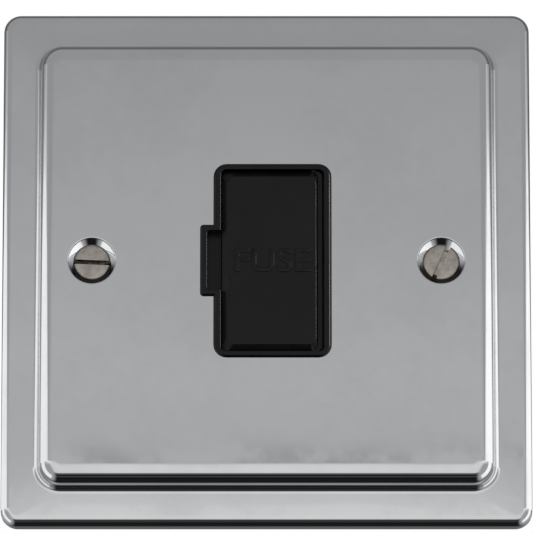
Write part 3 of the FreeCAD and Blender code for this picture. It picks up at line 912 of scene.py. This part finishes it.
class SPUR_OT_sheet_parts(bpy.types.Operator):
    """Break the sharp edges of the fuse clips and the two links"""

    bl_idname = "spur.sheet_parts"
    bl_label = "Clips and links"

    def execute(self, context):
        for side in ("supply", "load"):
            node = f"{side}_fuse_clip"
            softened_copy(node, f"{side}_clip", "sprung_clip", "unit", edge=0.08 * MM)
        for pole in ("neutral", "earth"):
            softened_copy(f"{pole}_link", f"{pole}_bar", "brass", "unit", edge=0.1 * MM)
        return {"FINISHED"}


class SPUR_OT_terminals(bpy.types.Operator):
    """Break the sharp edges of the terminal blocks and the plate's pillars"""

    bl_idname = "spur.terminals"
    bl_label = "Terminals and pillars"

    def execute(self, context):
        for end in ("supply", "load"):
            for pole in ("neutral", "live", "earth"):
                node = f"{end}_{pole}_terminal"
                softened_copy(node, f"{end}_{pole}_block", "brass", "unit", edge=0.1 * MM)
        for place in ("upper", "lower"):
            node = f"plate_pillar_{place}"
            softened_copy(node, f"pillar_{place}", "brass", "unit", edge=0.08 * MM)
        return {"FINISHED"}


def thread_radius(pitch, depth, first, last):
    """A radius with a helical thread cut between two levels, which fades at both ends."""

    def radius_at(radius, y, turn):
        if not first <= y <= last:
            return radius
        # flat crests and roots, with straight flanks between them
        phase = (y / pitch - turn / (2 * pi)) % 1
        flank = abs(2 * phase - 1)
        crest = min(1.0, max(0.0, 1.35 * flank - 0.1))
        fade = min(1.0, (y - first) / pitch, (last - y) / pitch)
        return radius - depth * (1 - crest) * max(0.0, fade)

    return radius_at


def spaced(start, end, step):
    """Levels between two ends, both left out, at about one step apart."""
    count = max(1, round(abs(end - start) / step))
    return [start + (end - start) * i / count for i in range(1, count)]


def screw_piece(name, head, shank_r, tip_y, pitch, depth, cutters):
    """A threaded screw along +Y from its head's profile, cut by its driver slots."""
    neck_y = head[-1][1]
    chamfer = 0.7 * depth
    profile = list(head) + [(shank_r, neck_y)]
    profile += [(shank_r, y) for y in spaced(neck_y, tip_y - chamfer, pitch / 6)]
    profile += [(shank_r, tip_y - chamfer), (shank_r - depth, tip_y)]
    bm = bmesh.new()
    threaded = thread_radius(pitch, depth, neck_y + 0.2 * pitch, tip_y - 0.5 * chamfer)
    lathed(bm, profile, SCREW_SIDES, threaded)
    for cutter in cutters:
        bm = cut_mesh(bm, cutter)
    return mesh_object(bm, name)


def slot_cutter(width, depth, reach, turn):
    """A cutter for a driver slot across a head whose top is at y = 0."""
    bm = bmesh.new()
    bmesh.ops.create_cube(bm, size=1.0)
    size = Matrix.Diagonal((2 * reach, 2 * depth, width, 1.0))
    bm.transform(Matrix.Rotation(-turn, 4, "Y") @ size)
    return bm


class SPUR_OT_fixing_screws(bpy.types.Operator):
    """Turn the two countersunk fixing screws, each with a slot and a thread"""

    bl_idname = "spur.fixing_screws"
    bl_label = "Fixing screws"

    def execute(self, context):
        sizes = context.scene.spur_screws
        # the left screw's finish paints shade over the floor of its slot
        looks = (("left", radians(-2.5), "shaded_slot"), ("right", radians(66), "nickel_screw"))
        for side, turn, finish in looks:
            node = f"fixing_screw_{side}"
            low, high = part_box(node)
            head_r = (high.x - low.x) / 2
            shank_r = 1.75 * MM
            edge = sizes.edge_r
            corners = [
                (0.4 * head_r, 0.0, 0),
                (head_r - edge, 0.0, 0.1 * MM),
                (head_r, 0.5 * edge, 0.02 * MM),
                (head_r - 0.5 * edge, sizes.head_rim + 0.5 * edge, 0),
                (shank_r, sizes.head_rim + head_r - shank_r, 0),
            ]
            head = filleted(corners, 3)
            cutter = slot_cutter(sizes.slot_fixing, sizes.slot_depth, 1.3 * head_r, turn)
            thread = (shank_r, high.y - low.y, sizes.pitch_fixing, sizes.thread_depth)
            piece = screw_piece(f"countersunk_{side}", head, *thread, [cutter])
            place = ((low.x + high.x) / 2, low.y, 0.0)
            screw = (node, "nickel_screw", f"{node}_body")
            stands_for(piece, *screw, place, finish=finish, **SCREW_LOOK)
        return {"FINISHED"}


class SPUR_OT_small_screws(bpy.types.Operator):
    """Turn the slotted terminal screws, and the module screws with their crossed recesses"""

    bl_idname = "spur.small_screws"
    bl_label = "Terminal and module screws"

    def execute(self, context):
        sizes = context.scene.spur_screws
        slots_turned = (20, 110, 65, 140, 5, 80)
        poles = ("neutral", "live", "earth")
        names = [f"{end}_{pole}_screw" for end in ("supply", "load") for pole in poles]
        for name, turn in zip(names, slots_turned):
            slot = {"width": sizes.slot_small, "depth": sizes.slot_small, "reach": 5 * MM}
            cut = [slot_cutter(turn=radians(turn), **slot)]
            self.rear_screw(name, f"{name}_body", sizes, cut, head_h=1.6 * MM, shank_r=1.95 * MM)
        for place in ("upper", "lower"):
            slot = {"width": 0.75 * MM, "depth": 1.1 * MM, "reach": 1.75 * MM}
            cross = [slot_cutter(turn=radians(turn), **slot) for turn in (45, 135)]
            node = f"module_screw_{place}"
            self.rear_screw(node, "unit", sizes, cross, head_h=1.9 * MM, shank_r=1.45 * MM)
        return {"FINISHED"}

    def rear_screw(self, node, body, sizes, cutters, head_h, shank_r):
        """A screw driven from behind, whose head lies at the +Y end."""
        low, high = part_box(node)
        head_r = (high.x - low.x) / 2
        crown, dome, thread_depth = 0.35 * MM, 0.12 * MM, 0.24 * MM
        corners = [
            (0.35 * head_r, 0.0, 0),
            (head_r - crown, dome, 0.3 * MM),
            (head_r, crown + dome, 0.15 * MM),
            (head_r, head_h, 0.08 * MM),
            (shank_r, head_h, 0),
        ]
        head = filleted(corners, 3)
        thread = (shank_r, high.y - low.y, sizes.pitch_small, thread_depth)
        piece = screw_piece(node.replace("screw", "threaded"), head, *thread, cutters)
        piece.data.transform(Matrix.Rotation(pi, 4, "X"))
        middle = (low + high) / 2
        place = (middle.x, high.y, middle.z)
        stands_for(piece, node, "plated_screw", body, place, **SCREW_LOOK)


# Stage


# Levels of light by the pitch in degrees: 0 is level in front, 90 overhead, 180 level behind
ALL_ROUND = (
    (-180, 0.34), (-168, 0.16), (-142, 0.02), (-70, 0.012), (-67, 0.14), (-64, 0.12),
    (-61, 0.012), (-49, 0.02), (-44, 0.13), (-36, 0.16), (-30, 0.92), (0, 0.95), (13, 0.93),
    (17, 0.44), (80, 0.44), (88, 0.19), (165, 0.16), (180, 0.34),
)
# The same for what the plate's flat front mirrors in the photograph's view
AHEAD = (
    (13, 0.78), (13.33, 0.78), (13.4, 0.74), (13.45, 0.62), (13.5, 0.78), (13.55, 0.86),
    (13.63, 0.9), (13.65, 0.2), (13.7, 0.34), (13.75, 0.5), (13.82, 0.6), (14.2, 0.618),
    (14.4, 0.614), (14.63, 0.594), (14.9, 0.576), (15.17, 0.556), (15.43, 0.547),
    (15.7, 0.533), (15.96, 0.512), (16.23, 0.497), (16.38, 0.489), (16.5, 0.45),
    (16.6, 0.437), (17, 0.44),
)


def ramp(tree, angle, levels):
    """A level of light by an angle in degrees, through given points."""
    first, last = levels[0][0], levels[-1][0]
    place = tree.nodes.new("ShaderNodeMapRange")
    tree.links.new(angle, place.inputs["Value"])
    place.inputs["From Min"].default_value = first
    place.inputs["From Max"].default_value = last
    node = tree.nodes.new("ShaderNodeValToRGB")
    stops = node.color_ramp.elements
    while len(stops) < len(levels):
        stops.new(0.5)
    for stop, (at, level) in zip(stops, levels):
        stop.position = (at - first) / (last - first)
        stop.color = (level, level, level, 1.0)
    tree.links.new(place.outputs["Result"], node.inputs["Fac"])
    return node.outputs["Color"]


def studio_levels(tree, angle):
    """What polished metal sees from below, through the front, to overhead and behind."""
    above = calculate(tree, "GREATER_THAN", angle, AHEAD[0][0])
    below = calculate(tree, "LESS_THAN", angle, AHEAD[-1][0])
    ahead = multiplied(tree, above, below)
    return blended(tree, ahead, ramp(tree, angle, ALL_ROUND), ramp(tree, angle, AHEAD))


def grey(level):
    """A grey of a level."""
    return (level, level, level)


def side_panels(tree, place, forward):
    """A mask for the soft panels at both sides.

    They are a band above the plate that narrows upwards, and strips level with it.
    """
    lean, shift, softness = 9.4, -1.67, 0.12
    across = calculate(tree, "ABSOLUTE", place["X"])
    edge = calculate(tree, "MULTIPLY_ADD", place["Z"], lean, shift)
    past_edge = remap(tree, calculate(tree, "SUBTRACT", across, edge), 0.0, softness)
    band = multiplied(tree, past_edge, remap(tree, place["Z"], 0.14, 0.2))
    beside = remap(tree, across, 0.5, 0.62)
    abreast = fading(tree, calculate(tree, "ABSOLUTE", forward), 0.25, 0.38)
    strips = multiplied(tree, beside, abreast, fading(tree, place["Z"], 0.24, 0.3))
    return calculate(tree, "MAXIMUM", band, strips)


def low_sides(tree, place):
    """A mask for what lies at both sides at and under the plate's level."""
    beside = remap(tree, calculate(tree, "ABSOLUTE", place["X"]), 0.2, 0.5)
    return multiplied(tree, beside, fading(tree, place["Z"], 0.0, 0.16))


class SPUR_OT_stage(bpy.types.Operator):
    """Set the floor, the lamps, the studio's surround and the camera"""

    bl_idname = "spur.stage"
    bl_label = "Stage"

    def execute(self, context):
        stage = context.scene.spur_stage
        self.surround(context.scene, stage)
        self.floor(stage)
        self.lamp("key", (0.75, -0.8, 0.75), size=0.5, power=9.0)
        self.lamp("fill", (-0.9, -0.7, 0.2), size=0.7, power=4.0)
        self.lamp("rear", (-0.5, 0.9, 0.7), size=0.6, power=7.0)
        plastics = ("collar_moulding", "carrier", "raised_word")
        self.lamp("glints", (1.07, -0.62, 0.34), size=0.45, power=14.0, glints_on=plastics)
        self.camera(context.scene, stage)
        context.scene.view_settings.view_transform = "Standard"
        return {"FINISHED"}

    def surround(self, scene, stage):
        """White behind the object, soft panels at both sides, and a plain level all round."""
        world = bpy.data.worlds.new("studio")
        world.use_nodes = True
        tree = world.node_tree
        tree.nodes.clear()
        place = separated(tree, tree.nodes.new("ShaderNodeTexCoord").outputs["Generated"])
        forward = multiplied(tree, place["Y"], -1.0)
        pitch = calculate(tree, "ARCTAN2", place["Z"], forward)
        levels = studio_levels(tree, multiplied(tree, pitch, 180 / pi))
        levels = blended(tree, low_sides(tree, place), levels, grey(0.5))
        to_right = remap(tree, place["X"], 0.6, 0.9)
        panel_level = blended(tree, to_right, grey(1.3), grey(1.5))
        metal_sees = blended(tree, side_panels(tree, place, forward), levels, panel_level)
        path = tree.nodes.new("ShaderNodeLightPath")
        reflected = blended(tree, path.outputs["Is Glossy Ray"], grey(stage.ambient), metal_sees)
        seen = blended(tree, path.outputs["Is Camera Ray"], reflected, grey(1.0))
        background = tree.nodes.new("ShaderNodeBackground")
        tree.links.new(seen, background.inputs["Color"])
        output = tree.nodes.new("ShaderNodeOutputWorld")
        tree.links.new(background.outputs["Background"], output.inputs["Surface"])
        scene.world = world

    def floor(self, stage):
        """A wide pale floor under the object."""
        bm = bmesh.new()
        bmesh.ops.create_grid(bm, x_segments=8, y_segments=8, size=6.0)
        floor = mesh_object(bm, "floor")
        floor.location.z = -stage.floor_drop
        tree, shader = new_material("pale_floor", 0.0)
        cloud = noise(tree, object_place(tree), 4.0, detail=2.0)
        tone = blended(tree, cloud, grey(0.84), (0.88, 0.88, 0.87))
        tree.links.new(tone, shader.inputs["Base Color"])
        shader.inputs["Roughness"].default_value = 0.8
        floor.data.materials.append(finish_of("pale_floor"))
        floor.visible_glossy = False

    def lamp(self, name, place, size, power, glints_on=()):
        """A soft square lamp aimed at the plate, or one that lights and glints on pieces alone."""
        light = bpy.data.lights.new(name, "AREA")
        light.shape = "SQUARE"
        light.size = size
        light.energy = power
        lamp = new_object(name, light)
        lamp.location = place
        lamp.rotation_euler = (-Vector(place)).to_track_quat("-Z", "Y").to_euler()
        lamp.visible_glossy = bool(glints_on)
        lamp.visible_camera = False
        if glints_on:
            lit = bpy.data.collections.new(f"{name}_on")
            for piece in glints_on:
                lit.objects.link(bpy.data.objects[piece])
            lamp.light_linking.receiver_collection = lit

    def camera(self, scene, stage):
        """The photograph's view: square on from left to right and from a little below."""
        low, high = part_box("front_plate")
        width = high.x - low.x + 2 * stage.margin
        aim = Vector((0.0, low.y / 2, 0.0))
        away = Vector((0.0, -cos(stage.elevation), sin(stage.elevation)))
        data = bpy.data.cameras.new("camera")
        data.sensor_width = 36.0
        data.lens = data.sensor_width * stage.distance / width
        data.clip_start = 0.01
        camera = new_object("camera", data)
        camera.location = aim + away * stage.distance
        camera.rotation_euler = (-away).to_track_quat("-Z", "Y").to_euler()
        scene.camera = camera


PROPERTY_GROUPS = {
    "spur_plate": PlateSizes,
    "spur_collar": CollarSizes,
    "spur_carrier": CarrierSizes,
    "spur_word": WordSizes,
    "spur_screws": ScrewSizes,
    "spur_finishes": Finishes,
    "spur_stage": StageSizes,
}
OPERATORS = (
    SPUR_OT_plate,
    SPUR_OT_mouldings,
    SPUR_OT_carrier,
    SPUR_OT_fuse,
    SPUR_OT_sheet_parts,
    SPUR_OT_terminals,
    SPUR_OT_fixing_screws,
    SPUR_OT_small_screws,
    SPUR_OT_stage,
)


class SPUR_PT_panel(bpy.types.Panel):
    """The unit's pieces, sizes and colours in the sidebar"""

    bl_idname = "SPUR_PT_panel"
    bl_label = "Fused spur unit"
    bl_space_type = "VIEW_3D"
    bl_region_type = "UI"
    bl_category = "Spur unit"

    def draw(self, context):
        for operator in OPERATORS:
            self.layout.operator(operator.bl_idname)
        for name in PROPERTY_GROUPS:
            group = getattr(context.scene, name)
            box = self.layout.box()
            for label in group.bl_rna.properties.keys():
                if label not in ("rna_type", "name"):
                    box.prop(group, label)


def register():
    for name, group in PROPERTY_GROUPS.items():
        bpy.utils.register_class(group)
        setattr(bpy.types.Scene, name, PointerProperty(type=group))
    for operator in OPERATORS:
        bpy.utils.register_class(operator)
    bpy.utils.register_class(SPUR_PT_panel)


def unregister():
    bpy.utils.unregister_class(SPUR_PT_panel)
    for operator in reversed(OPERATORS):
        bpy.utils.unregister_class(operator)
    for name, group in reversed(PROPERTY_GROUPS.items()):
        delattr(bpy.types.Scene, name)
        bpy.utils.unregister_class(group)


def main():
    register()
    for operator in OPERATORS:
        group, name = operator.bl_idname.split(".")
        getattr(getattr(bpy.ops, group), name)()


if __name__ == "__main__":
    main()
